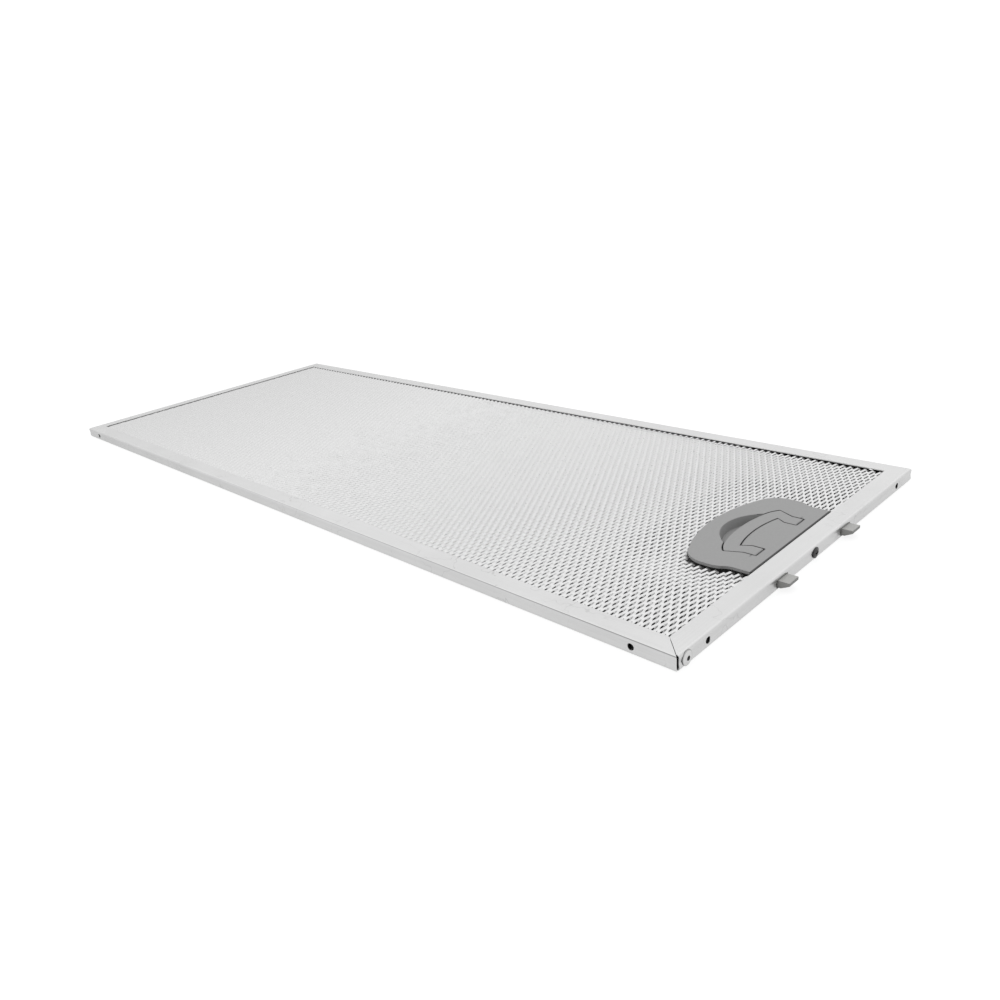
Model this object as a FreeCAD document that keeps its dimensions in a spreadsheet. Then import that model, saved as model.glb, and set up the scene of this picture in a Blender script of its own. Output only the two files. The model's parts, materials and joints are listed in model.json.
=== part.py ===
import FreeCAD, Part
import math
import os
import re

import Sketcher

# Grease filter of a cooker hood: a folded aluminium channel frame round five sheets of expanded
# aluminium, with a sprung two-tongue latch and its flush lift handle at the +X end.
# +X is the latch end, +Z the side that faces the cook, and the filter lies on its other side.
# "Reach" sizes run inward from the outer face of the latch end, "half" sizes sideways from its middle.

SIZES = {
    # How far a cut starts outside the material
    "cut_margin": 1.0,
    # Channel frame
    "frame_length": 632.0,
    "frame_width": 250.0,
    "frame_height": 8.0,
    "sheet_gauge": 0.6,
    "flange_width": 11.5,
    "bend_radius": 1.5,
    "groove_depth": 0.25,
    "groove_half": 2.4,
    "wall_hole_radius": 1.75,
    "wall_hole_inset": 21.3,
    "closing_hole_inset": 24.1,
    # Closed corner of the frame
    "slit_width": 1.0,
    "mitre_gap": 0.3,
    "tab_length": 13.0,
    "tab_height": 4.8,
    "tab_gap": 0.1,
    "rivet_inset": 7.4,
    "rivet_head_radius": 3.6,
    "rivet_head_rise": 0.8,
    "rivet_shank_radius": 2.0,
    "rivet_bulb_radius": 2.6,
    "rivet_bulb_length": 1.8,
    "rivet_bore_radius": 1.2,
    "rivet_clearance": 0.05,
    "mandrel_depth": 0.5,
    "mandrel_taper": 0.3,
    "mandrel_head_length": 0.8,
    # Expanded sheets
    "mesh_margin": 5.0,
    "mesh_rise": 1.0,
    "mesh_seat": 0.1,
    "layer_gap": 0.05,
    "mesh_columns": 10.0,
    "mesh_rows": 5.0,
    "gap_share": 0.8,
    "mesh_clearance": 0.7,
    "skew_length": 125.0,
    "skew_drop": 11.3,
    # Half-moon handle housing
    "plate_half": 46.5,
    "neck_half": 43.0,
    "plate_reach": 59.5,
    "rear_radius": 89.0,
    "corner_radius": 14.5,
    "ogee_start": 33.0,
    "ogee_end": 21.0,
    "plate_gap": 0.4,
    "tail_reach": 1.6,
    "flange_clearance": 0.2,
    "rim_overhang": 1.6,
    "housing_wall": 1.2,
    "deck_gauge": 1.6,
    "floor_gauge": 1.2,
    "parting_height": 6.0,
    # Finger scoop
    "scoop_radius": 25.6,
    "scoop_reach": 51.2,
    "scoop_depth": 5.0,
    "scoop_slope": 0.25,
    "scoop_wall": 1.2,
    "scoop_front": 31.4,
    "scoop_mouth": 39.0,
    # Lift handle
    "bail_gauge": 2.3,
    "bail_clearance": 0.45,
    "arm_end_gap": 0.6,
    "arm_end": 19.5,
    "arm_bend": 26.0,
    "arm_inner": 17.3,
    "arm_outer": 25.6,
    "elbow_reach": 35.0,
    "elbow_half": 29.6,
    "shoulder_reach": 39.3,
    "shoulder_half": 22.0,
    "shoulder_radius": 20.0,
    "back_radius": 82.0,
    "inner_reach": 31.5,
    "inner_half": 20.3,
    "inner_radius": 70.0,
    "arm_end_round": 0.7,
    "pivot_reach": 21.2,
    "pivot_height": 6.3,
    "pivot_radius": 0.9,
    "pivot_clearance": 0.1,
    "pivot_length": 2.2,
    "lug_length": 2.6,
    "lug_half": 2.0,
    "lug_drop": 1.6,
    "finger_swing": 3.6,
    "finger_half": 0.45,
    "finger_tip_radius": 0.7,
    "finger_width": 5.0,
    "finger_clearance": 0.3,
    # Latch slide and tongues
    "tongue_spacing": 69.3,
    "tongue_width": 9.0,
    "tongue_reach": 6.0,
    "tongue_gauge": 3.8,
    "tongue_nose": 1.6,
    "tongue_bevel": 4.4,
    "slide_lift": 0.5,
    "slide_web": 2.4,
    "slide_front": 10.8,
    "slide_rear": 21.6,
    "slot_clearance": 1.0,
    "slot_floor": 0.35,
    # Springs behind the tongues
    "spring_half": 2.6,
    "spring_strip": 0.9,
    "spring_height": 2.4,
    "spring_stop": 36.0,
    "spring_seat": 0.1,
    "stop_gauge": 1.6,
    "stop_half": 3.0,
    "stop_height": 3.6,
    # Screw that holds the handle to the frame
    "screw_height": 4.1,
    "screw_head_radius": 3.0,
    "screw_head_rise": 0.8,
    "screw_shank_radius": 1.25,
    "screw_length": 8.0,
    "screw_clearance": 0.15,
    "bore_clearance": 0.3,
    "recess_half": 1.5,
    "recess_arm_half": 0.35,
    "recess_depth": 0.6,
    "boss_half": 3.6,
    "boss_length": 8.6,
}

PARTS_FOLDER = "parts"
EARS = {"left": -1, "right": 1}
SPRING_FOLDS = 7
NOTCH_SNIPS = 40

doc = FreeCAD.newDocument("grease_filter")
sheet = doc.addObject("Spreadsheet::Sheet", "Sizes")
for row, (alias, size) in enumerate(SIZES.items(), start=1):
    sheet.set(f"A{row}", alias)
    sheet.set(f"B{row}", str(size))
    sheet.setAlias(f"B{row}", alias)
doc.recompute()
sub_parts = []


def bind(formula):
    """A formula of size names as an expression that reads the sheet."""
    return re.sub(r"[a-z_]+", lambda word: sheet_name(word.group()), formula)


def sheet_name(word):
    return f"Sizes.{word}" if word in SIZES else word


def number(formula):
    """What a formula of size names comes to, in millimetres."""
    return float(sheet.evalExpression(bind(formula)))


def point(across, up):
    return FreeCAD.Vector(number(across), number(up), 0)


# The frame is centred in its own sketches, and every sub-part moves back by half of the tongues'
# reach, which puts the origin below the middle of the whole filter.
END = "frame_length / 2"
SHIFT = "-tongue_reach / 2"


def inward(reach):
    """Position along X of a point that lies so far inward of the latch end."""
    return f"{END} - ({reach})"


def place(part, label, x="0", y="0", z="0"):
    """Label a sub-part, put it in its place and list it for export."""
    part.Label = label
    for axis, formula in (("x", f"{x} + {SHIFT}"), ("y", y), ("z", z)):
        part.setExpression(f"Placement.Base.{axis}", bind(formula))
    sub_parts.append(part)
    return part


def new_body(name):
    return doc.addObject("PartDesign::Body", f"{name}_body")


def new_sketch(body, name, plane, level):
    """Empty sketch on one of the body's own planes, raised along the plane's normal."""
    sketch = body.newObject("Sketcher::SketchObject", f"{body.Name}_{name}")
    support = next(item for item in body.Origin.OriginFeatures if item.Role == plane)
    sketch.AttachmentSupport = (support, [""])
    sketch.MapMode = "FlatFace"
    sketch.setExpression("AttachmentOffset.Base.z", bind(level))
    return sketch


def arc_between(start, end, radius, turn):
    """Arc whose centre lies left (turn 1) or right (turn -1) of the way from start to end."""
    chord = end - start
    middle = (start + end) * 0.5
    left = FreeCAD.Vector(-chord.y, chord.x, 0).normalize()
    centre = middle + left * (turn * math.sqrt(radius ** 2 - chord.Length ** 2 / 4))
    first, last = (start, end) if turn > 0 else (end, start)
    angles = [math.atan2(tip.y - centre.y, tip.x - centre.x) for tip in (first, last)]
    return Part.ArcOfCircle(Part.Circle(centre, FreeCAD.Vector(0, 0, 1), radius), *angles)


def draw_loop(sketch, path):
    """Closed loop through corners (across, up); a corner with a radius and a turn is reached by an arc."""
    base = sketch.GeometryCount
    count = len(path)
    tips = [point(*step[:2]) for step in path]
    joints = []
    for index, step in enumerate(path):
        start, end = tips[index - 1], tips[index]
        if len(step) == 2:
            sketch.addGeometry(Part.LineSegment(start, end), False)
            joints.append((1, 2))
            continue
        radius, turn = step[2:]
        edge = sketch.addGeometry(arc_between(start, end, number(radius), turn), False)
        joints.append((1, 2) if turn > 0 else (2, 1))
        dimension = sketch.addConstraint(Sketcher.Constraint("Radius", edge, number(radius)))
        sketch.setExpression(f"Constraints[{dimension}]", bind(radius))
    for index, step in enumerate(path):
        edge, following = base + index, base + (index + 1) % count
        meeting = (edge, joints[index][1], following, joints[(index + 1) % count][0])
        sketch.addConstraint(Sketcher.Constraint("Coincident", *meeting))
        for axis, formula in zip("XY", step[:2]):
            tie = Sketcher.Constraint(f"Distance{axis}", -1, 1, edge, joints[index][1], number(formula))
            sketch.setExpression(f"Constraints[{sketch.addConstraint(tie)}]", bind(formula))


def draw_circle(sketch, across, up, radius):
    circle = Part.Circle(point(across, up), FreeCAD.Vector(0, 0, 1), number(radius))
    edge = sketch.addGeometry(circle, False)
    ties = [
        (Sketcher.Constraint("Radius", edge, number(radius)), radius),
        (Sketcher.Constraint("DistanceX", -1, 1, edge, 3, number(across)), across),
        (Sketcher.Constraint("DistanceY", -1, 1, edge, 3, number(up)), up),
    ]
    for tie, formula in ties:
        sketch.setExpression(f"Constraints[{sketch.addConstraint(tie)}]", bind(formula))


def outline(body, name, plane, level, *loops):
    sketch = new_sketch(body, name, plane, level)
    for path in loops:
        draw_loop(sketch, path)
    return sketch


def circles(body, name, plane, level, *rounds):
    sketch = new_sketch(body, name, plane, level)
    for across, up, radius in rounds:
        draw_circle(sketch, across, up, radius)
    return sketch


def pad(body, sketch, length):
    feature = body.newObject("PartDesign::Pad", f"{sketch.Name}_pad")
    feature.Profile = sketch
    feature.setExpression("Length", bind(length))
    doc.recompute()
    return feature


def pocket(body, sketch, length=None, draft=None):
    """Cut against the sketch's normal, to a depth or right through, and make sure that it cut."""
    doc.recompute()
    before = body.Shape.Volume
    feature = body.newObject("PartDesign::Pocket", f"{sketch.Name}_pocket")
    feature.Profile = sketch
    if length is None:
        feature.Type = "ThroughAll"
    else:
        feature.setExpression("Length", bind(length))
    if draft:
        feature.setExpression("TaperAngle", bind(f"-{draft}"))
    doc.recompute()
    if body.Shape.Volume >= before:
        raise RuntimeError(f"{feature.Name} cut nothing")
    return feature


def turn_about_x(body, sketch):
    feature = body.newObject("PartDesign::Revolution", f"{sketch.Name}_turn")
    feature.Profile = sketch
    feature.ReferenceAxis = (sketch, ["H_Axis"])
    feature.Angle = 360
    doc.recompute()
    return feature


def block(x_low, x_high, y_low, y_high):
    """Rectangle seen from above."""
    return [(x_high, y_low), (x_high, y_high), (x_low, y_high), (x_low, y_low)]


def build_frame():
    """One strip of channel, mitred at its corners, with a slit, a tab and a rivet at the closed one."""
    body = new_body("frame")
    side = "-frame_width / 2"
    middle = "frame_height / 2"
    spine = outline(body, "spine", "XY_Plane", "0", [
        (END, side),
        (END, "frame_width / 2"),
        (f"-({END})", "frame_width / 2"),
        (f"-({END})", side),
        ("0", side),
    ])
    inner_radius = "bend_radius - sheet_gauge"
    section = outline(body, "section", "YZ_Plane", "0", [
        (f"{side} + bend_radius", "frame_height"),
        (side, "frame_height - bend_radius", "bend_radius", 1),
        (side, f"{middle} + groove_half"),
        (f"{side} + groove_depth", middle),
        (side, f"{middle} - groove_half"),
        (side, "bend_radius"),
        (f"{side} + bend_radius", "0", "bend_radius", 1),
        (f"{side} + flange_width", "0"),
        (f"{side} + flange_width", "sheet_gauge"),
        (f"{side} + bend_radius", "sheet_gauge"),
        (f"{side} + sheet_gauge", "bend_radius", inner_radius, -1),
        (f"{side} + sheet_gauge", f"{middle} - groove_half"),
        (f"{side} + sheet_gauge + groove_depth", middle),
        (f"{side} + sheet_gauge", f"{middle} + groove_half"),
        (f"{side} + sheet_gauge", "frame_height - bend_radius"),
        (f"{side} + bend_radius", "frame_height - sheet_gauge", inner_radius, -1),
        (f"{side} + flange_width", "frame_height - sheet_gauge"),
        (f"{side} + flange_width", "frame_height"),
    ])
    doc.recompute()
    channel = body.newObject("PartDesign::AdditivePipe", "channel")
    channel.Profile = section
    channel.Spine = (spine, [f"Edge{index + 1}" for index in range(spine.GeometryCount)])
    channel.Transition = "Right corner"
    doc.recompute()

    above = "frame_height + cut_margin"
    along = "mitre_gap / sqrt(8)"
    past = "flange_width + cut_margin"
    mitre = outline(body, "mitre", "XY_Plane", above, [
        (f"{END} + {along}", f"{side} + {along}"),
        (f"{inward(past)} + {along}", f"{side} + {past} + {along}"),
        (f"{inward(past)} - {along}", f"{side} + {past} - {along}"),
        (f"{END} - {along}", f"{side} - {along}"),
    ])
    pocket(body, mitre)
    slit = "(sheet_gauge + slit_width)"
    notch = outline(body, "slit", "XY_Plane", above, [
        (f"{END} + {slit}", f"{side} - {slit}"),
        (f"{END} + {slit}", f"{side} + {slit}"),
        (f"{END} - {slit}", f"{side} + {slit}"),
    ])
    pocket(body, notch)
    tab_face = "sheet_gauge + groove_depth + tab_gap"
    tab = block(inward(f"{tab_face} + sheet_gauge"), inward(tab_face),
                f"{side} + sheet_gauge / 2", f"{side} + tab_length")
    tab_sketch = outline(body, "tab", "XY_Plane", f"{middle} - tab_height / 2", tab)
    pad(body, tab_sketch, "tab_height")

    outside = f"{END} + cut_margin"
    long_holes = [inward("closing_hole_inset"), f"wall_hole_inset - {END}"]
    long_holes = [(x, middle, "wall_hole_radius") for x in long_holes]
    pocket(body, circles(body, "long_holes", "XZ_Plane", "frame_width / 2 + cut_margin", *long_holes))
    end_holes = [f"{side} + closing_hole_inset", "frame_width / 2 - wall_hole_inset"]
    end_holes = [(y, middle, "wall_hole_radius") for y in end_holes]
    pocket(body, circles(body, "end_holes", "YZ_Plane", outside, *end_holes))

    end_cut = f"{tab_face} + sheet_gauge + 2 * cut_margin"
    low = "floor_gauge + slide_lift - slot_floor"
    high = "floor_gauge + slide_lift + tongue_gauge + slot_floor"
    slots = []
    for sign in ("", "-"):
        centre = f"{sign}(tongue_spacing / 2)"
        half = "(tongue_width / 2 + slot_clearance)"
        slots.append([(f"{centre} + {half}", low), (f"{centre} + {half}", high),
                      (f"{centre} - {half}", high), (f"{centre} - {half}", low)])
    pocket(body, outline(body, "slots", "YZ_Plane", outside, *slots), end_cut)
    fasteners = [
        ("0", "screw_height", "screw_shank_radius + screw_clearance"),
        (f"{side} + rivet_inset", middle, "rivet_shank_radius + rivet_clearance"),
    ]
    pocket(body, circles(body, "fasteners", "YZ_Plane", outside, *fasteners), end_cut)
    place(body, "frame")


def build_rivet():
    """Blind rivet through the end wall and the tab behind it, with its broken mandrel."""
    grip = "(sheet_gauge + groove_depth + tab_gap + sheet_gauge)"
    bulb_end = f"-({grip} + rivet_bulb_length)"
    body = new_body("corner_rivet")
    shell = outline(body, "shell", "XZ_Plane", "0", [
        ("rivet_head_rise", "rivet_bore_radius"),
        ("rivet_head_rise", "rivet_head_radius / 2"),
        ("rivet_head_rise / 3", "rivet_head_radius"),
        ("0", "rivet_head_radius"),
        ("0", "rivet_shank_radius"),
        (f"-{grip}", "rivet_shank_radius"),
        (f"-{grip}", "rivet_bulb_radius"),
        (bulb_end, "rivet_shank_radius"),
        (bulb_end, "rivet_bore_radius"),
    ])
    turn_about_x(body, shell)
    at = (END, "-frame_width / 2 + rivet_inset", "frame_height / 2")
    place(body, "corner_rivet", *at)

    pin = new_body("rivet_mandrel")
    pin_radius = "rivet_bore_radius - rivet_clearance"
    seat = f"{bulb_end} - rivet_clearance"
    stub = outline(pin, "stub", "XZ_Plane", "0", [
        ("rivet_head_rise - mandrel_depth", "0"),
        ("rivet_head_rise - mandrel_depth - mandrel_taper", pin_radius),
        (seat, pin_radius),
        (seat, "rivet_shank_radius"),
        (f"{seat} - mandrel_head_length", pin_radius),
        (f"{seat} - mandrel_head_length", "0"),
    ])
    turn_about_x(pin, stub)
    place(pin, "rivet_mandrel", *at)


def housing_path(front, inset="0"):
    """Half-moon plan of the handle: straight front edge, ogee shoulders, rounded corners, shallow back."""
    half = f"(plate_half - ({inset}))"
    neck = f"(neck_half - ({inset}))"
    corner = f"(corner_radius - ({inset}))"
    rear = f"(rear_radius - ({inset}))"
    rear_centre = "(plate_reach - rear_radius)"
    corner_half = "(plate_half - corner_radius)"
    corner_reach = f"({rear_centre} + sqrt((rear_radius - corner_radius)^2 - {corner_half}^2))"
    share = f"({rear} / (rear_radius - corner_radius))"
    join_reach = f"({rear_centre} + ({corner_reach} - {rear_centre}) * {share})"
    join_half = f"({corner_half} * {share})"
    ogee_middle = "(ogee_start + ogee_end) / 2"
    ogee_half = f"(({half} + {neck}) / 2)"
    step = "(plate_half - neck_half)"
    ogee = f"(((ogee_start - ogee_end)^2 + {step}^2) / (4 * {step}))"
    return [
        (inward(front), neck),
        (inward("ogee_end"), neck),
        (inward(ogee_middle), ogee_half, ogee, -1),
        (inward("ogee_start"), half, ogee, 1),
        (inward(corner_reach), half),
        (inward(join_reach), join_half, corner, 1),
        (inward(join_reach), f"-{join_half}", rear, 1),
        (inward(corner_reach), f"-{half}", corner, 1),
        (inward("ogee_start"), f"-{half}"),
        (inward(ogee_middle), f"-{ogee_half}", ogee, 1),
        (inward("ogee_end"), f"-{neck}", ogee, -1),
        (inward(front), f"-{neck}"),
    ]


def bail_path(grow="0", end_gap="0"):
    """C-shaped plan of the lift handle, or of the recess round it."""
    inner = f"(arm_inner - {grow})"
    outer = f"(arm_outer + {grow})"
    elbow = f"(elbow_half + {grow})"
    crook = f"(inner_half - {grow})"
    tip = inward(f"arm_end - {end_gap}")
    bend = inward("arm_bend")
    elbow_x = inward(f"elbow_reach + {grow}")
    shoulder_x = inward(f"shoulder_reach + {grow}")
    crook_x = inward(f"inner_reach - {grow}")
    return [
        (tip, outer),
        (bend, outer),
        (elbow_x, elbow),
        (shoulder_x, "shoulder_half", "shoulder_radius", 1),
        (shoulder_x, "-shoulder_half", "back_radius", 1),
        (elbow_x, f"-{elbow}", "shoulder_radius", 1),
        (bend, f"-{outer}"),
        (tip, f"-{outer}"),
        (tip, f"-{inner}"),
        (bend, f"-{inner}"),
        (crook_x, f"-{crook}"),
        (crook_x, crook, "inner_radius", -1),
        (bend, inner),
        (tip, inner),
    ]


def scoop_path(front, grow="0"):
    """Segment of a circle behind a straight front edge."""
    radius = f"(scoop_radius + {grow})"
    chord = f"sqrt({radius}^2 - ({front} - scoop_reach + scoop_radius)^2)"
    return [(inward(front), chord), (inward(front), f"-{chord}", radius, 1)]


DECK_TOP = "frame_height"
DECK_LOW = "(frame_height - deck_gauge)"
TAIL_TOP = "(frame_height - sheet_gauge - flange_clearance)"
TAIL_LOW = "(sheet_gauge + flange_clearance)"
FLANGE_EDGE = "flange_width + plate_gap"
SCOOP_FLOOR = "(frame_height - scoop_depth)"
SLIDE_LOW = "(floor_gauge + slide_lift)"


def build_handle_plate():
    """Cover: deck with an overhanging rim, finger scoop, recess of the lift handle, skirt and hinge lugs."""
    body = new_body("handle_plate")
    plan = outline(body, "plan", "XY_Plane", DECK_LOW, housing_path("tail_reach"))
    pad(body, plan, f"{TAIL_TOP} - {DECK_LOW}")
    deck = outline(body, "deck", "XY_Plane", TAIL_TOP, housing_path(FLANGE_EDGE))
    pad(body, deck, f"{DECK_TOP} - {TAIL_TOP}")
    skirt = outline(body, "skirt", "XY_Plane", "parting_height",
                    housing_path("tail_reach", "rim_overhang"),
                    housing_path("tail_reach + housing_wall", "rim_overhang + housing_wall"))
    pad(body, skirt, f"{DECK_LOW} - parting_height")

    bowl = outline(body, "bowl", "XY_Plane", f"{SCOOP_FLOOR} - scoop_wall",
                   scoop_path("(scoop_front - scoop_wall)", "scoop_wall"))
    pad(body, bowl, f"{DECK_LOW} - {SCOOP_FLOOR} + scoop_wall")
    draft = "atan(scoop_slope)"
    hollow = outline(body, "hollow", "XY_Plane", DECK_LOW,
                     scoop_path("scoop_front", "(-deck_gauge * scoop_slope)"))
    pocket(body, hollow, f"{DECK_LOW} - {SCOOP_FLOOR}", draft)
    mouth = outline(body, "mouth", "XY_Plane", DECK_TOP, scoop_path("scoop_mouth"))
    pocket(body, mouth, "deck_gauge", draft)
    recess = outline(body, "recess", "XY_Plane", DECK_TOP, bail_path("bail_clearance", "arm_end_gap"))
    pocket(body, recess, "bail_gauge + bail_clearance")

    lug_inner = "arm_outer + bail_clearance"
    lug_low = "pivot_height - lug_drop"
    for sign in EARS.values():
        sides = sorted((f"{sign} * ({lug_inner})", f"{sign} * ({lug_inner} + lug_length)"), key=number)
        lug = block(inward("pivot_reach + lug_half"), inward("pivot_reach - lug_half"), *sides)
        pad(body, outline(body, "lug", "XY_Plane", lug_low, lug), f"{DECK_LOW} - ({lug_low})")
        bearing = circles(body, "bearing", "XZ_Plane", f"-({sides[0]})",
                          (inward("pivot_reach"), "pivot_height", "pivot_radius + pivot_clearance"))
        pocket(body, bearing, "lug_length")
    place(body, "handle_plate")


def build_handle_back():
    """Tray below the cover: floor, wall, tongue windows, screw boss, slide guides and spring stops."""
    body = new_body("handle_back")
    floor = outline(body, "floor", "XY_Plane", TAIL_LOW, housing_path("tail_reach", "rim_overhang"))
    pad(body, floor, f"floor_gauge - {TAIL_LOW}")
    deck = outline(body, "deck", "XY_Plane", "0", housing_path(FLANGE_EDGE, "rim_overhang"))
    pad(body, deck, TAIL_LOW)
    wall = outline(body, "wall", "XY_Plane", "floor_gauge",
                   housing_path("tail_reach", "rim_overhang"),
                   housing_path("tail_reach + housing_wall", "rim_overhang + housing_wall"))
    pad(body, wall, "parting_height - floor_gauge")
    windows = []
    for sign in ("", "-"):
        centre = f"{sign}(tongue_spacing / 2)"
        half = "(tongue_width / 2 + slot_clearance)"
        high = f"{SLIDE_LOW} + tongue_gauge + slot_floor"
        windows.append([(f"{centre} + {half}", "floor_gauge"), (f"{centre} + {half}", high),
                        (f"{centre} - {half}", high), (f"{centre} - {half}", "floor_gauge")])
    window_sketch = outline(body, "windows", "YZ_Plane", END, *windows)
    pocket(body, window_sketch, "tail_reach + housing_wall + cut_margin")

    boss = block(inward("tail_reach + boss_length"), inward("tail_reach"), "-boss_half", "boss_half")
    pad(body, outline(body, "boss", "XY_Plane", "floor_gauge", boss), "parting_height - floor_gauge")
    bore = circles(body, "bore", "YZ_Plane", inward("tail_reach"),
                   ("0", "screw_height", "screw_shank_radius + screw_clearance"))
    pocket(body, bore, "screw_length + bore_clearance - tail_reach")
    stops = []
    for sign in EARS.values():
        centre = f"{sign} * tongue_spacing / 2"
        stops.append(block(inward("spring_stop + stop_gauge"), inward("spring_stop"),
                           f"{centre} - stop_half", f"{centre} + stop_half"))
    pad(body, outline(body, "stops", "XY_Plane", "floor_gauge", *stops), "stop_height")
    place(body, "handle_back")
    return floor


FINGER_LEAN = "(finger_swing / sqrt(2))"
FINGER_X = inward(f"pivot_reach - {FINGER_LEAN}")
FINGER_Y = "((arm_inner + arm_outer) / 2)"


def bar_along_y(body, name, y_low, y_high, path=None, rounds=None):
    """Bar whose section stands upright and which runs from one side to the other."""
    if rounds:
        sketch = circles(body, name, "XZ_Plane", f"-({y_high})", rounds)
    else:
        sketch = outline(body, name, "XZ_Plane", f"-({y_high})", path)
    pad(body, sketch, f"({y_high}) - ({y_low})")


def build_bail():
    """Flush lift handle with hinge pins and the two crank fingers that draw the slide back."""
    body = new_body("bail")
    pad(body, outline(body, "bow", "XY_Plane", "frame_height - bail_gauge", bail_path()), "bail_gauge")
    tip = inward("arm_end")
    trim = [
        (tip, "frame_height - arm_end_round"),
        (f"{tip} - arm_end_round", "frame_height", "arm_end_round", 1),
        (f"{tip} - arm_end_round", "frame_height + cut_margin"),
        (f"{tip} + cut_margin", "frame_height + cut_margin"),
        (f"{tip} + cut_margin", "frame_height - arm_end_round"),
    ]
    side = "(arm_outer + cut_margin)"
    pocket(body, outline(body, "trim", "XZ_Plane", side, trim), f"2 * {side}")

    axle = inward("pivot_reach")
    foot = f"(pivot_height - {FINGER_LEAN})"
    half = "(finger_half / sqrt(2))"
    stem = [
        (f"{FINGER_X} + {half}", f"{foot} + {half}"),
        (f"{axle} + {half}", f"pivot_height + {half}"),
        (f"{axle} - {half}", f"pivot_height - {half}"),
        (f"{FINGER_X} - {half}", f"{foot} - {half}"),
    ]
    for sign in EARS.values():
        arm = sorted((f"{sign} * arm_inner", f"{sign} * arm_outer"), key=number)
        bar_along_y(body, "eye", *arm, rounds=(axle, "pivot_height", "frame_height - pivot_height"))
        pin = sorted((f"{sign} * arm_outer", f"{sign} * (arm_outer + pivot_length)"), key=number)
        bar_along_y(body, "pin", *pin, rounds=(axle, "pivot_height", "pivot_radius"))
        finger = [f"{sign} * {FINGER_Y} {way} finger_width / 2" for way in "-+"]
        bar_along_y(body, "stem", *finger, path=stem)
        bar_along_y(body, "foot", *finger, rounds=(FINGER_X, foot, "finger_tip_radius"))
    place(body, "bail")


def build_latch_slide():
    """Slide with two bevelled tongues, joined by a web with a window for each crank finger."""
    body = new_body("latch_slide")
    top = f"({SLIDE_LOW} + tongue_gauge)"
    nose = f"{END} + tongue_reach"
    web = block(inward("slide_rear"), inward("slide_front"), "-tongue_spacing / 2", "tongue_spacing / 2")
    pad(body, outline(body, "web", "XY_Plane", SLIDE_LOW, web), "slide_web")
    section = [
        (inward("slide_rear"), SLIDE_LOW),
        (f"{nose} - tongue_bevel", SLIDE_LOW),
        (nose, f"{top} - tongue_nose"),
        (nose, top),
        (inward("slide_rear"), top),
    ]
    windows = []
    room = "(finger_tip_radius + finger_clearance)"
    for sign in EARS.values():
        tongue = [f"{sign} * tongue_spacing / 2 {way} tongue_width / 2" for way in "-+"]
        bar_along_y(body, "tongue", *tongue, path=section)
        sides = [f"{sign} * {FINGER_Y} {way} (finger_width / 2 + finger_clearance)" for way in "-+"]
        windows.append(block(f"{FINGER_X} - {room}", f"{FINGER_X} + {room}", *sides))
    pocket(body, outline(body, "windows", "XY_Plane", f"{SLIDE_LOW} + slide_web", *windows), "slide_web")
    place(body, "latch_slide")


def build_springs():
    """Serpentine strip springs between the slide and the stops of the tray."""
    stroke = "(spring_stop - slide_rear - 2 * spring_seat)"
    folds = [(f"{stroke} * {fold} / {SPRING_FOLDS}", f"{1 - 2 * (fold % 2)} * spring_half")
             for fold in range(SPRING_FOLDS + 1)]
    near = [(x, f"{y} - spring_strip / 2") for x, y in folds]
    far = [(x, f"{y} + spring_strip / 2") for x, y in reversed(folds)]
    for name, sign in EARS.items():
        body = new_body(f"latch_spring_{name}")
        pad(body, outline(body, "strip", "XY_Plane", "0", near + far), "spring_height")
        place(body, f"latch_spring_{name}", inward("spring_stop - spring_seat"),
              f"{sign} * tongue_spacing / 2", f"{SLIDE_LOW} + (tongue_gauge - spring_height) / 2")


def build_screw():
    """Pan-head screw through the end wall into the boss of the tray, with a cross recess."""
    body = new_body("handle_screw")
    profile = outline(body, "profile", "XZ_Plane", "0", [
        ("screw_head_rise", "0"),
        ("screw_head_rise", "screw_head_radius / 2"),
        ("screw_head_rise / 2", "screw_head_radius"),
        ("0", "screw_head_radius"),
        ("0", "screw_shank_radius"),
        ("screw_shank_radius - screw_length", "screw_shank_radius"),
        ("-screw_length", "0"),
    ])
    turn_about_x(body, profile)
    arm, core = "recess_half", "recess_arm_half"
    cross = [
        (arm, f"-{core}"), (arm, core), (core, core), (core, arm), (f"-{core}", arm), (f"-{core}", core),
        (f"-{arm}", core), (f"-{arm}", f"-{core}"), (f"-{core}", f"-{core}"), (f"-{core}", f"-{arm}"),
        (core, f"-{arm}"), (core, f"-{core}"),
    ]
    pocket(body, outline(body, "recess", "YZ_Plane", "screw_head_rise", cross), "recess_depth")
    place(body, "handle_screw", END, "0", "screw_height")


def prism(corners, height):
    """Upright block with the given corners, from the bottom up."""
    wire = Part.makePolygon([FreeCAD.Vector(*corner, 0) for corner in corners + corners[:1]])
    return Part.Face(wire).extrude(FreeCAD.Vector(0, 0, height))


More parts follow.
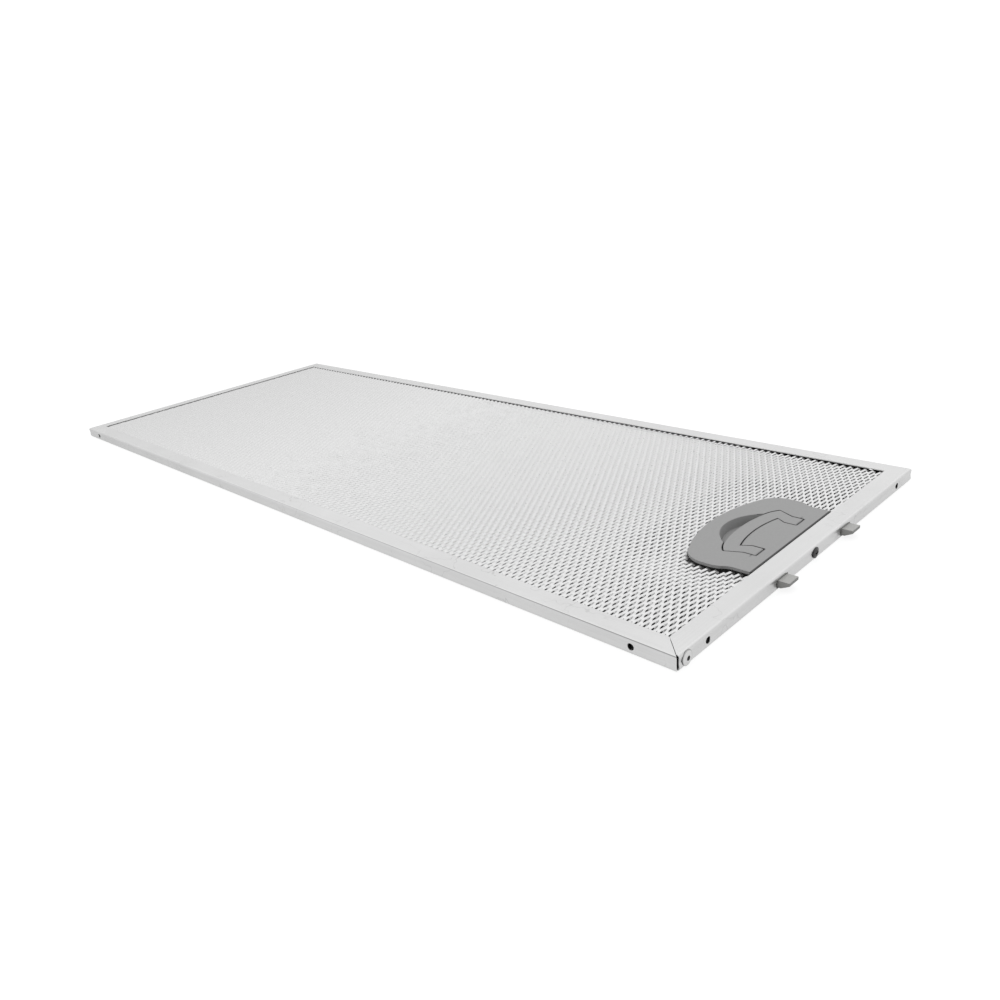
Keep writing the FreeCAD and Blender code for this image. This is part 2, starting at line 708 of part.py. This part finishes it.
def build_mesh(label, order, housing):
    """Expanded sheet: staggered diamonds, their short way along X, and a hole snipped for the handle.
    Each sheet lies half a column off the next, and the upper one is cut askew along its far side."""
    half_length = number("frame_length / 2 - mesh_margin")
    half_width = number("frame_width / 2 - mesh_margin")
    rise = number("mesh_rise")
    blank = [(-half_length, -half_width), (half_length, -half_width), (half_length, half_width),
             (-half_length, half_width)]
    if label == "top_mesh":
        length, drop = number("skew_length"), number("skew_drop")
        blank[2:3] = [(half_length, half_width - drop), (half_length - length, half_width)]

    column_step = number("frame_length / mesh_columns")
    row_step = number("frame_width / (mesh_rows + 1)")
    reach = number("gap_share") * column_step / 2
    spread = number("gap_share") * row_step
    border = number("flange_width - mesh_margin")
    handle_x = number(inward("plate_reach")) - border
    handle_y = number("plate_half") + border
    columns = int(number("mesh_columns"))
    rows = int(number("mesh_rows"))
    openings = []
    for line in range(rows):
        shift = (line + order) % 2 / 2
        y = (line - (rows - 1) / 2) * row_step
        for column in range(columns):
            x = (column + shift - columns / 2 + 1 / 4) * column_step
            under_handle = x + reach > handle_x and abs(y) - spread < handle_y
            on_sheet = abs(x) + reach < half_length - border and abs(y) + spread < half_width
            if on_sheet and not under_handle:
                corners = [(x + reach, y), (x, y + spread), (x - reach, y), (x, y - spread)]
                openings.append(prism(corners, rise))
    around = Part.Wire(Part.sortEdges(housing.Shape.Edges)[0]).makeOffset2D(number("mesh_clearance"))
    snips = [(spot.x, spot.y) for spot in around.discretize(Number=NOTCH_SNIPS)]
    notch = prism(snips, rise)

    feature = doc.addObject("Part::Feature", label)
    feature.Shape = prism(blank, rise).cut(Part.makeCompound(openings)).cut(notch)
    place(feature, label, z=f"sheet_gauge + mesh_seat + {order} * (mesh_rise + layer_gap)")


def build_meshes(housing):
    sheets = ["bottom_mesh", "filter_layer_1", "filter_layer_2", "filter_layer_3", "top_mesh"]
    for order, label in enumerate(sheets):
        build_mesh(label, order, housing)


def export():
    """Stop at anything that failed, then write one file for each sub-part."""
    doc.recompute()
    failed = [item.Name for item in doc.Objects if {"Invalid", "Error"} & set(item.State)]
    if failed:
        raise RuntimeError(f"not built: {failed}")
    for part in sub_parts:
        shape = part.Shape
        if shape.isNull() or not shape.isValid() or len(shape.Solids) != 1:
            raise RuntimeError(f"{part.Label} is not one sound solid")
    os.makedirs(PARTS_FOLDER, exist_ok=True)
    for part in sub_parts:
        part.Shape.exportStep(os.path.join(PARTS_FOLDER, f"{part.Label}.step"))


build_frame()
build_rivet()
build_handle_plate()
housing_plan = build_handle_back()
build_bail()
build_latch_slide()
build_springs()
build_screw()
build_meshes(housing_plan)
export()
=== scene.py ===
import json
import math
import random

import bpy
from mathutils import Matrix, Vector
from mathutils.bvhtree import BVHTree


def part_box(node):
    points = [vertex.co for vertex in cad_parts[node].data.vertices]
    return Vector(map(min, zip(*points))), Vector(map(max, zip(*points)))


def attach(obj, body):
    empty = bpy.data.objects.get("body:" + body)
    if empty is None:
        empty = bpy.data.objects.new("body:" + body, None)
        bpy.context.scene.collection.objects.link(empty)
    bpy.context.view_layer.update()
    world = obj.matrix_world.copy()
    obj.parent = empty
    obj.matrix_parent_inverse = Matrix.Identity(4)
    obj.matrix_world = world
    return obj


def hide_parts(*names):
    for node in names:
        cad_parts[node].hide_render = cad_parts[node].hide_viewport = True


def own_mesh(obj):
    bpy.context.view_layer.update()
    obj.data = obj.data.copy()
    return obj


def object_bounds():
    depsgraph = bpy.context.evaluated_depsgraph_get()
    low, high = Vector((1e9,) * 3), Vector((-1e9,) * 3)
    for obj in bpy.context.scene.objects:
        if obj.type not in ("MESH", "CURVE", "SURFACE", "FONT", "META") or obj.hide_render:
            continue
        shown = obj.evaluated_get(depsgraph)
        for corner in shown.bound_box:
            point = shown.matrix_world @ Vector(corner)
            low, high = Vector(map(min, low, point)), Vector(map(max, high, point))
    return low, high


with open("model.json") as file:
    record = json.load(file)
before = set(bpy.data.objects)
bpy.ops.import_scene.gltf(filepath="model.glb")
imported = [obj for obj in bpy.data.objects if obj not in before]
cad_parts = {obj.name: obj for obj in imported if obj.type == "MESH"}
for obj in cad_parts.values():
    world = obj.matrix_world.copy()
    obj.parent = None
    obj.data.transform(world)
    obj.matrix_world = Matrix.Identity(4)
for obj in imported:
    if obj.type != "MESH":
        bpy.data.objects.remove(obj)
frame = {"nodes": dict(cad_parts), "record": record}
cad_low, cad_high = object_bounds()
nodes = frame["nodes"]
FILTER_BODY = "filter"
SPRINGS = ("latch_spring_left", "latch_spring_right")
MM = 0.001

frame_low, frame_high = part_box("frame")
frame_middle = (frame_low + frame_high) / 2
frame_half = (frame_high - frame_low) / 2
plate_low, plate_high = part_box("handle_plate")

# Expanded sheets, in mm. The long way of the diamonds runs along Y.
# Pitch across and row step along, width of a strand as a share of the pitch, length of a bond as a share of
# the row step, 1 where the bonds lean down towards +X and -1 where they lean the other way, and how far the
# pattern is shifted along X and Y.
SHEETS = {
    "top_mesh": (4.55, 3.94, 0.27, 0.4, 1, (0.0, 0.0)),
    "filter_layer_3": (4.55, 3.94, 0.29, 0.66, 1, (-1.2, -1.0)),
    "filter_layer_2": (5.6, 4.85, 0.3, 0.4, 1, (0.0, 0.0)),
    "filter_layer_1": (5.6, 4.85, 0.3, 0.4, -1, (0.0, 0.0)),
    "bottom_mesh": (4.55, 3.94, 0.27, 0.4, 1, (0.0, 0.0)),
}
FOIL_GAUGE = 0.15
LEAN_SPREAD = 0.06
BOND_VERTS = 12
TRAY_CLEARANCE = 1.2
# The two upper sheets swell up to the flanges, a little more towards the far end, and the handle's rim holds
# them down round the handle.
SWELLING_SHEETS = ("top_mesh", "filter_layer_3")
SWELL = 1.3
SWELL_REACH = 28.0
FAR_SWELL = 0.45
# They end at the flange of the far long side, and towards its corner at +X the last rows are pulled back.
FAR_EDGE = 115.0
PULL = 3.6
PULL_START = (90.0, 80.0)

# Base colours: bare aluminium, grey plastic, spring steel and the blackened screw.
FRAME_COLOUR = (0.79, 0.79, 0.79)
MESH_COLOUR = (0.84, 0.84, 0.84)
LAYER_COLOUR = (0.8, 0.8, 0.8)
PLASTIC_COLOUR = (0.318, 0.318, 0.318)
TONGUE_COLOUR = (0.42, 0.42, 0.41)
SPRING_COLOUR = (0.6, 0.6, 0.6)
SCREW_COLOUR = (0.08, 0.08, 0.08)

# Drawn lines of the strip: how often they change along a metre, lengthways and across.
LINE_RUN = 12
LINE_FINENESS = 2600
# Along X in metres: painted shade makes the metal slightly darker from the first place to the far end, and
# the painted shade of the inner sides and lower layers, which lie out of the light, goes from pale to dark
# between the other two.
FADE_END = 0.05
DEEP_FROM = -0.25
DEEP_TO = 0.1
# The skin of the strip: what lies deeper than this is its inner side, which gets painted shade.
SKIN = (0.5 * MM, 0.58 * MM)
# A painted dark reflection along the bend of the near long side, weaker towards the far end.
CREASE_SIDE = 1.2 * MM
CREASE_WIDTH = (0.1 * MM, 0.45 * MM)
CREASE_RUN = (-0.15, 0.3)
# The line of shade round the rivet's head, on the outer side of the end wall.
RIM_WIDTH = (0.1 * MM, 0.35 * MM)
RIM_DEPTH = 0.5 * MM

# Reach of the painted shade in narrow gaps and along sharp edges, and the levels at which the painted shade
# of the lower layers and of the tray begins.
CREVICE_REACH = 1.5 * MM
EDGE_REACH = 0.85 * MM
DEEP_SHADE_LEVEL = 3.85 * MM
DEEP_SHADE_BLEND = 0.05 * MM
TRAY_FLOOR = 1.2 * MM
TRAY_BLEND = 0.5 * MM
# The plastic between the end wall's skin and the inner edge of its flange is out of the light, and the shade
# reaches a little past that edge.
WALL_SKIN = (0.6 * MM, 0.4 * MM)
FLANGE_EDGE = 12.3 * MM
FLANGE_SHADE = (0.75 * MM, 0.45 * MM)

# The floor glows beside the filter and under its outer margin, and not below its middle.
FLOOR_REACH = 20.0
FLOOR_DROP = 0.05 * MM
FLOOR_COLOUR = (0.22, 0.22, 0.22)
FLOOR_MARGIN = 9 * MM
GLOW_FOR_CAMERA = 0.85
GLOW_FOR_METAL = 0.6

# Studio light over the angle to the camera's side: strength at both ends, and the cosines where they lie.
CAMERA_SIDE = (0.68, -0.64, -0.35)
MATT_LIGHT = (1.37, 0.62, -0.55, 0.15)
METAL_RISE = (0.87, 1.05, -0.95, -0.64)
METAL_FALL = (1.05, 0.75, -0.6, 0.0)

# The camera that took the photo, fitted to the edges of the frame, in mm.
CAMERA_EYE = (485.6, -378.9, 212.5)
CAMERA_RIGHT = (0.71122, 0.69634, -0.09632)
CAMERA_UP = (-0.20785, 0.3392, 0.91747)
CAMERA_LENS = 30.72
SENSOR_WIDTH = 36.0
CAMERA_CLIP = (0.01, 100.0)


def link(tree, source, socket, target, name):
    tree.links.new(source.outputs[socket], target.inputs[name])


def add_node(tree, kind, inputs=None, **settings):
    """A shader node with its settings, and the values of its input sockets by name or number."""
    node = tree.nodes.new(kind)
    for name, value in settings.items():
        setattr(node, name, value)
    for name, value in (inputs or {}).items():
        node.inputs[name].default_value = value
    return node


def math_node(tree, operation, first, second=None):
    """Result socket of a sum on sockets or plain numbers."""
    node = add_node(tree, "ShaderNodeMath", operation=operation)
    for place, value in enumerate((first, second)):
        if isinstance(value, bpy.types.NodeSocket):
            tree.links.new(value, node.inputs[place])
        elif value is not None:
            node.inputs[place].default_value = value
    return node.outputs[0]


def product(tree, first, second):
    return math_node(tree, "MULTIPLY", first, second)


def difference(tree, first, second):
    return math_node(tree, "SUBTRACT", first, second)


def distance(tree, first, second):
    """How far two values lie apart, either way."""
    return math_node(tree, "ABSOLUTE", difference(tree, first, second))


def place_on_object(tree):
    """Sockets of the place on the object along X, Y and Z, in metres."""
    where = add_node(tree, "ShaderNodeTexCoord")
    parts = add_node(tree, "ShaderNodeSeparateXYZ")
    link(tree, where, "Object", parts, "Vector")
    return [parts.outputs[axis] for axis in "XYZ"]


def remap(tree, value, low, high, start=0.3, end=0.7):
    """Socket that goes from low to high as a value goes from start to end, or over the middle of a noise."""
    ranged = add_node(tree, "ShaderNodeMapRange", {1: start, 2: end, 3: low, 4: high})
    tree.links.new(value, ranged.inputs[0])
    return ranged.outputs[0]


def noise(tree, scale, detail=2.0, stretch=(1, 1, 1)):
    """Noise over the object's own metres, stretched by a scale along each axis."""
    where = add_node(tree, "ShaderNodeTexCoord")
    mapping = add_node(tree, "ShaderNodeMapping", {"Scale": stretch})
    texture = add_node(tree, "ShaderNodeTexNoise", {"Scale": scale, "Detail": detail})
    link(tree, where, "Object", mapping, "Vector")
    link(tree, mapping, "Vector", texture, "Vector")
    return texture.outputs["Fac"]


def new_material(name, colour, metallic, roughness):
    material = bpy.data.materials.new(name)
    material.use_nodes = True
    surface = material.node_tree.nodes["Principled BSDF"]
    surface.inputs["Base Color"].default_value = (*colour, 1)
    surface.inputs["Metallic"].default_value = metallic
    surface.inputs["Roughness"].default_value = roughness
    return material, material.node_tree, surface


def tint(tree, surface, colour, value, spread):
    """Colour that grows lighter and darker with a noise."""
    mix = add_node(tree, "ShaderNodeMix", data_type="RGBA")
    mix.inputs["A"].default_value = (*[part * (1 - spread) for part in colour], 1)
    mix.inputs["B"].default_value = (*[min(1, part * (1 + spread)) for part in colour], 1)
    tree.links.new(remap(tree, value, 0, 1), mix.inputs["Factor"])
    tree.links.new(mix.outputs["Result"], surface.inputs["Base Color"])


def darken(tree, surface, share):
    """Multiply the base colour down by a share of 0 to 1."""
    mix = add_node(tree, "ShaderNodeMix", data_type="RGBA")
    mix.inputs["B"].default_value = (0, 0, 0, 1)
    tree.links.new(surface.inputs["Base Color"].links[0].from_socket, mix.inputs["A"])
    tree.links.new(share, mix.inputs["Factor"])
    tree.links.new(mix.outputs["Result"], surface.inputs["Base Color"])


def far_end_shade(tree, surface, x, share):
    """Painted shade: slightly darker metal towards the far end."""
    darken(tree, surface, remap(tree, x, share, 0, -frame_half.x, FADE_END))


def crevice_shade(tree, surface, closed, open_air):
    """Painted shade that darkens narrow gaps and inner corners, between two shares of open air round a
    point.
    """
    gaps = add_node(tree, "ShaderNodeAmbientOcclusion", {"Distance": CREVICE_REACH}, samples=8)
    darken(tree, surface, remap(tree, gaps.outputs["AO"], 0.92, 0, closed, open_air))


def gap_shade_lines(tree, surface, x, y, box):
    """Painted shade along the edges of the gaps between a moving part and the recess that it lies in, within
    its box.
    """
    edges = add_node(tree, "ShaderNodeAmbientOcclusion", {"Distance": EDGE_REACH}, samples=16, inside=True)
    share = remap(tree, edges.outputs["AO"], 0.93, 0, 0.6, 0.9)
    low, high = box
    for value, least, most in ((x, low.x, high.x), (y, low.y, high.y)):
        from_middle = distance(tree, value, (least + most) / 2)
        near = math_node(tree, "LESS_THAN", from_middle, (most - least) / 2 + EDGE_REACH)
        share = product(tree, share, near)
    darken(tree, surface, share)


def relief(tree, surface, value, strength, depth, edge=0.0):
    """Bump from a noise, over edges that are softened by a small radius."""
    bump = add_node(tree, "ShaderNodeBump", {"Strength": strength, "Distance": depth})
    tree.links.new(value, bump.inputs["Height"])
    if edge:
        rounded = add_node(tree, "ShaderNodeBevel", {"Radius": edge}, samples=6)
        link(tree, rounded, "Normal", bump, "Normal")
    link(tree, bump, "Normal", surface, "Normal")


def scratches(tree, surface):
    """Faint crooked marks, in patches."""
    level = distance(tree, noise(tree, 55.0, 3.0), 0.5)
    worn = remap(tree, noise(tree, 16.0, 1.0), 0, 1, 0.45, 0.6)
    darken(tree, surface, product(tree, remap(tree, level, 0.16, 0, 0.002, 0.008), worn))


def rivet_rim(tree, y, z, to_end):
    """Share of shade in the line round the rivet's head."""
    low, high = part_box("corner_rivet")
    middle = (low + high) / 2
    across, up = difference(tree, y, middle.y), difference(tree, z, middle.z)
    squares = math_node(tree, "ADD", product(tree, across, across), product(tree, up, up))
    from_rim = distance(tree, math_node(tree, "SQRT", squares), high.y - middle.y)
    on_outside = math_node(tree, "LESS_THAN", to_end, RIM_DEPTH)
    return product(tree, remap(tree, from_rim, 0.4, 0, *RIM_WIDTH), on_outside)


def frame_material(name):
    """Drawn aluminium strip: fine lines along each side of the frame, faint smudges and marks, painted shade
    inside the channel and towards the far end, a painted dark reflection along the near bend and a painted
    line of shade round the rivet's head.
    """
    material, tree, surface = new_material(name, FRAME_COLOUR, 1.0, 0.36)
    x, y, z = place_on_object(tree)
    to_end = difference(tree, frame_half.x, distance(tree, x, frame_middle.x))
    to_side = difference(tree, frame_half.y, math_node(tree, "ABSOLUTE", y))
    lines = add_node(tree, "ShaderNodeMix", data_type="FLOAT")
    along_x = noise(tree, 1.0, 3.0, (LINE_RUN, LINE_FINENESS, LINE_FINENESS))
    along_y = noise(tree, 1.0, 3.0, (LINE_FINENESS, LINE_RUN, LINE_FINENESS))
    tree.links.new(math_node(tree, "LESS_THAN", to_end, to_side), lines.inputs["Factor"])
    tree.links.new(along_x, lines.inputs["A"])
    tree.links.new(along_y, lines.inputs["B"])
    smudge = noise(tree, 24.0, 4.0)
    shade = product(tree, math_node(tree, "ADD", lines.outputs[0], smudge), 0.5)
    tint(tree, surface, FRAME_COLOUR, shade, 0.05)
    far_end_shade(tree, surface, x, 0.13)
    scratches(tree, surface)

    # Painted shade on the inner sides of the channel, darkest towards +X, a painted dark reflection along
    # the near bend, and the painted line of shade round the rivet's head.
    below_top = difference(tree, frame_high.z, z)
    to_wall = math_node(tree, "MINIMUM", to_end, to_side)
    to_flange = math_node(tree, "MINIMUM", below_top, difference(tree, z, frame_low.z))
    inside = remap(tree, math_node(tree, "MINIMUM", to_wall, to_flange), 0, 1, *SKIN)
    inside = product(tree, inside, remap(tree, x, 0.1, 0.85, DEEP_FROM, DEEP_TO))
    near_side = math_node(tree, "LESS_THAN", y, CREASE_SIDE - frame_half.y)
    from_bend = distance(tree, to_side, below_top)
    painted_crease_line = product(tree, near_side, remap(tree, from_bend, 0.6, 0, *CREASE_WIDTH))
    painted_crease_line = product(tree, painted_crease_line, remap(tree, x, 0.15, 1, *CREASE_RUN))
    dark = math_node(tree, "MAXIMUM", inside, painted_crease_line)
    darken(tree, surface, math_node(tree, "MAXIMUM", dark, rivet_rim(tree, y, z, to_end)))
    tree.links.new(remap(tree, lines.outputs[0], 0.3, 0.44), surface.inputs["Roughness"])
    relief(tree, surface, lines.outputs[0], 0.12, 0.05 * MM)
    return material


def mesh_material(name, colour, dim_below=None):
    """Expanded foil with stretch marks, and painted shade below some level."""
    material, tree, surface = new_material(name, colour, 1.0, 0.34)
    x, _, z = place_on_object(tree)
    grain = noise(tree, 700.0, 2.0)
    tint(tree, surface, colour, noise(tree, 900.0, 2.0), 0.03)
    far_end_shade(tree, surface, x, 0.14)
    # Painted shade on the lower layers below a given level, darkest towards +X.
    if dim_below:
        below = remap(tree, z, 1, 0, dim_below - DEEP_SHADE_BLEND, dim_below)
        darken(tree, surface, product(tree, below, remap(tree, x, 0.3, 0.95, DEEP_FROM, DEEP_TO)))
    tree.links.new(remap(tree, grain, 0.26, 0.44), surface.inputs["Roughness"])
    relief(tree, surface, grain, 0.1, 0.05 * MM)
    return material


def plastic_material(name, colour, gap_box=None, dim_above=None):
    """Moulded plastic with a fine spark-eroded grain and softened edges, with painted shade where no light
    gets in.
    """
    material, tree, surface = new_material(name, colour, 0.0, 0.55)
    surface.inputs["Specular IOR Level"].default_value = 0.35
    x, y, z = place_on_object(tree)
    grain = noise(tree, 2600.0, 3.0)
    tint(tree, surface, colour, noise(tree, 900.0, 5.0), 0.03)
    # Painted shade behind the end wall, under its flange and in a narrow line beside the flange's inner
    # edge.
    skin_start, skin_end = [frame_high.x - depth for depth in WALL_SKIN]
    flange_start, flange_end = [frame_high.x - FLANGE_EDGE - width for width in FLANGE_SHADE]
    behind_wall = remap(tree, x, 1, 0, skin_start, skin_end)
    below_flange = remap(tree, x, 0, 1, flange_start, flange_end)
    darken(tree, surface, product(tree, product(tree, behind_wall, below_flange), 0.85))
    crevice_shade(tree, surface, 0.2, 0.55)
    # Painted shade on the tray above a given level.
    if dim_above:
        darken(tree, surface, remap(tree, z, 0, 0.88, dim_above, dim_above + TRAY_BLEND))
    if gap_box:
        gap_shade_lines(tree, surface, x, y, gap_box)
    tree.links.new(remap(tree, grain, 0.5, 0.64), surface.inputs["Roughness"])
    relief(tree, surface, grain, 0.18, 0.06 * MM, 0.35 * MM)
    return material


def steel_material(name, colour, roughness):
    """Drawn or blackened steel with a fine grain and painted shade in its recesses."""
    material, tree, surface = new_material(name, colour, 1.0, roughness)
    grain = noise(tree, 1500.0, 3.0)
    tint(tree, surface, colour, grain, 0.15)
    crevice_shade(tree, surface, 0.3, 0.8)
    tree.links.new(remap(tree, grain, roughness - 0.08, roughness + 0.08), surface.inputs["Roughness"])
    relief(tree, surface, grain, 0.1, 0.04 * MM, 0.2 * MM)
    return material


MATERIALS = {
    "frame_aluminium": frame_material("frame_aluminium"),
    "mesh_aluminium": mesh_material("mesh_aluminium", MESH_COLOUR),
    "layer_aluminium": mesh_material("layer_aluminium", LAYER_COLOUR, DEEP_SHADE_LEVEL),
    "grey_plastic": plastic_material("grey_plastic", PLASTIC_COLOUR),
    "latch_plastic": plastic_material("latch_plastic", TONGUE_COLOUR),
    "spring_steel": steel_material("spring_steel", SPRING_COLOUR, 0.3),
    "dark_steel": steel_material("dark_steel", SCREW_COLOUR, 0.3),
}
# The plate round the bail has painted shade along its gap lines, and the tray below it has painted shade
# above its floor.
NODE_MATERIALS = {
    "handle_plate": plastic_material("plate_plastic_gap_shade", PLASTIC_COLOUR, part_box("bail")),
    "handle_back": plastic_material("tray_plastic_shaded", PLASTIC_COLOUR, dim_above=TRAY_FLOOR),
}
SLOTS = {part["node"]: part["material_slot"] for part in frame["record"]["subparts"]}
for node_name, slot_name in SLOTS.items():
    nodes[node_name].data.materials.clear()
    nodes[node_name].data.materials.append(NODE_MATERIALS.get(node_name, MATERIALS[slot_name]))

tray = BVHTree.FromObject(nodes["handle_back"], bpy.context.evaluated_depsgraph_get())


def clear_of_tray(x, y):
    """Whether a strand at this place stays outside the walls of the handle's tray."""
    above, down = Vector((x, y, cad_high.z + MM)), Vector((0, 0, -1))
    for dx, dy in ((0, 0), (1, 0), (-1, 0), (0, 1), (0, -1)):
        start = above + Vector((dx, dy, 0)) * TRAY_CLEARANCE * MM
        if tray.ray_cast(start, down)[0] is not None:
            return False
    return True


def swell(x, y):
    """How far the pack stands up at this place: least at the handle, and most at the far end."""
    away = math.hypot(max(0, plate_low.x - x), max(0, abs(y) - plate_high.y))
    share = min(1, away / (SWELL_REACH * MM))
    far = max(0, -x / frame_half.x)
    return (SWELL * share * share * (3 - 2 * share) + FAR_SWELL * far) * MM


def pull(x, y):
    """How far a row is drawn back from the flange of the far long side at this place."""
    along, across = [max(0, spot - start * MM) / (limit - start * MM) for spot, start, limit in
                     zip((x, y), PULL_START, (frame_high.x, frame_high.y))]
    return PULL * MM * along * along * across


def add_object(name, mesh):
    piece = bpy.data.objects.new(name, mesh)
    bpy.context.scene.collection.objects.link(piece)
    return piece


def build_sheet(node_name, pitch, row, strand_share, bond_share, side, offset, seed):
    """Expanded metal: rows of leaning bonds, each joined by four strands to the bonds of the next rows."""
    low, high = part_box(node_name)
    dice = random.Random(seed)
    pitch, row, gauge = pitch * MM, row * MM, FOIL_GAUGE * MM
    strand = strand_share * pitch
    bond_half = bond_share * row / 2
    lean = side * math.asin((high.z - low.z - gauge) / (2 * strand))
    middle = (low + high) / 2
    across = int((high.x - low.x) / pitch)
    along = int((high.y - low.y) / row)
    swelling = node_name in SWELLING_SHEETS
    far_edge = FAR_EDGE * MM if swelling else high.y - bond_half
    verts, faces, first_vert = [], [], {}

    for line in range(along + 1):
        for column in range(across + 1):
            x = low.x + (column + (line % 2) / 2 + 0.5) * pitch + offset[0] * MM
            y = low.y + (line + 0.5) * row + offset[1] * MM
            in_frame = low.x + strand <= x <= high.x - strand and low.y + bond_half <= y <= far_edge
            if not in_frame or not clear_of_tray(x, y):
                continue
            angle = lean + dice.gauss(0, LEAN_SPREAD) * lean
            wide = Vector((math.cos(angle), 0, -math.sin(angle)))
            thick = Vector((math.sin(angle), 0, math.cos(angle))) * (gauge / 2)
            centre = Vector((x, y, middle.z))
            if swelling:
                centre += Vector((0, -pull(x, y), swell(x, y)))
            first_vert[line, column] = len(verts)
            for end in (-bond_half, bond_half):
                for across_bond in (-strand, 0, strand):
                    spot = centre + wide * across_bond + Vector((0, end, 0))
                    verts += [spot + thick, spot - thick]

    for (line, column), base in first_vert.items():
        bond = [base + number for number in range(BOND_VERTS)]
        # Numbers run upper and lower side, then across the bond, then from its near to its far end.
        faces += [(bond[0], bond[4], bond[10], bond[6]), (bond[7], bond[11], bond[5], bond[1]),
                  (bond[4], bond[5], bond[11], bond[10]), (bond[6], bond[7], bond[1], bond[0])]
        right = (line + 1, column + line % 2)
        left = (line + 1, column + line % 2 - 1)
        for key, start, finish in ((right, 8, 0), (left, 6, 2)):
            if key in first_vert:
                a, b = base + start, first_vert[key] + finish
                faces += [(a, a + 2, b + 2, b), (a + 1, b + 1, b + 3, a + 3),
                          (a, b, b + 1, a + 1), (a + 2, a + 3, b + 3, b + 2)]
    mesh = bpy.data.meshes.new(f"{node_name}_expanded")
    mesh.from_pydata(verts, [], faces)
    mesh.materials.append(MATERIALS[SLOTS[node_name]])
    piece = add_object(f"{node_name}_expanded", mesh)
    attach(piece, FILTER_BODY)
    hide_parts(node_name)


def build_springs():
    """Copies of the springs with meshes of their own, on the filter's body."""
    for node_name in SPRINGS:
        piece = add_object(f"{node_name}_strip", nodes[node_name].data.copy())
        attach(piece, FILTER_BODY)
        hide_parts(node_name)
        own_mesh(piece)


def build_floor():
    """Pale floor that burns out to white for the camera and keeps a soft contact shadow."""
    mesh = bpy.data.meshes.new("floor")
    level = cad_low.z - FLOOR_DROP
    corners = [(-1, -1), (1, -1), (1, 1), (-1, 1)]
    mesh.from_pydata([(x * FLOOR_REACH, y * FLOOR_REACH, level) for x, y in corners], [], [(0, 1, 2, 3)])
    material, tree, surface = new_material("floor", FLOOR_COLOUR, 0.0, 0.9)
    surface.inputs["Specular IOR Level"].default_value = 0.0
    surface.inputs["Emission Color"].default_value = (1, 1, 1, 1)
    x, y, _ = place_on_object(tree)
    from_middle = distance(tree, x, frame_middle.x)
    from_axis = math_node(tree, "ABSOLUTE", y)
    past_end = math_node(tree, "GREATER_THAN", from_middle, frame_half.x - FLOOR_MARGIN)
    past_side = math_node(tree, "GREATER_THAN", from_axis, frame_half.y - FLOOR_MARGIN)
    beside = math_node(tree, "MAXIMUM", past_end, past_side)
    path = add_node(tree, "ShaderNodeLightPath")
    for_camera = product(tree, path.outputs["Is Camera Ray"], GLOW_FOR_CAMERA)
    for_metal = product(tree, path.outputs["Is Glossy Ray"], GLOW_FOR_METAL)
    glow = product(tree, math_node(tree, "MAXIMUM", for_camera, for_metal), beside)
    tree.links.new(glow, surface.inputs["Emission Strength"])
    mesh.materials.append(material)
    floor = add_object("floor", mesh)


def build_world():
    """White studio: bright above and behind the filter, dimmer low down on the camera's side."""
    world = bpy.data.worlds.new("studio")
    world.use_nodes = True
    bpy.context.scene.world = world
    tree = world.node_tree
    background = tree.nodes["Background"]
    where = add_node(tree, "ShaderNodeTexCoord")
    facing = add_node(tree, "ShaderNodeVectorMath", {1: CAMERA_SIDE}, operation="DOT_PRODUCT")
    link(tree, where, "Generated", facing, 0)
    matt, rising, falling = [remap(tree, facing.outputs["Value"], *levels)
                             for levels in (MATT_LIGHT, METAL_RISE, METAL_FALL)]
    path = add_node(tree, "ShaderNodeLightPath")
    level = add_node(tree, "ShaderNodeMix", data_type="FLOAT")
    tree.links.new(path.outputs["Is Glossy Ray"], level.inputs["Factor"])
    tree.links.new(matt, level.inputs["A"])
    tree.links.new(math_node(tree, "MINIMUM", rising, falling), level.inputs["B"])
    seen = math_node(tree, "MAXIMUM", level.outputs[0], path.outputs["Is Camera Ray"])
    tree.links.new(seen, background.inputs["Strength"])
    background.inputs["Color"].default_value = (1, 1, 1, 1)


def build_camera():
    data = bpy.data.cameras.new("camera")
    data.sensor_width = SENSOR_WIDTH
    data.lens = CAMERA_LENS
    data.clip_start, data.clip_end = CAMERA_CLIP
    camera = add_object("camera", data)
    right, up = Vector(CAMERA_RIGHT), Vector(CAMERA_UP)
    turn = Matrix((right, up, right.cross(up))).transposed()
    camera.matrix_world = Matrix.Translation(Vector(CAMERA_EYE) * MM) @ turn.to_4x4()
    bpy.context.scene.camera = camera


for seed, (sheet_name, pattern) in enumerate(SHEETS.items()):
    build_sheet(sheet_name, *pattern, seed)
build_springs()
build_floor()
build_world()
build_camera()
bpy.context.scene.view_settings.view_transform = "Standard"
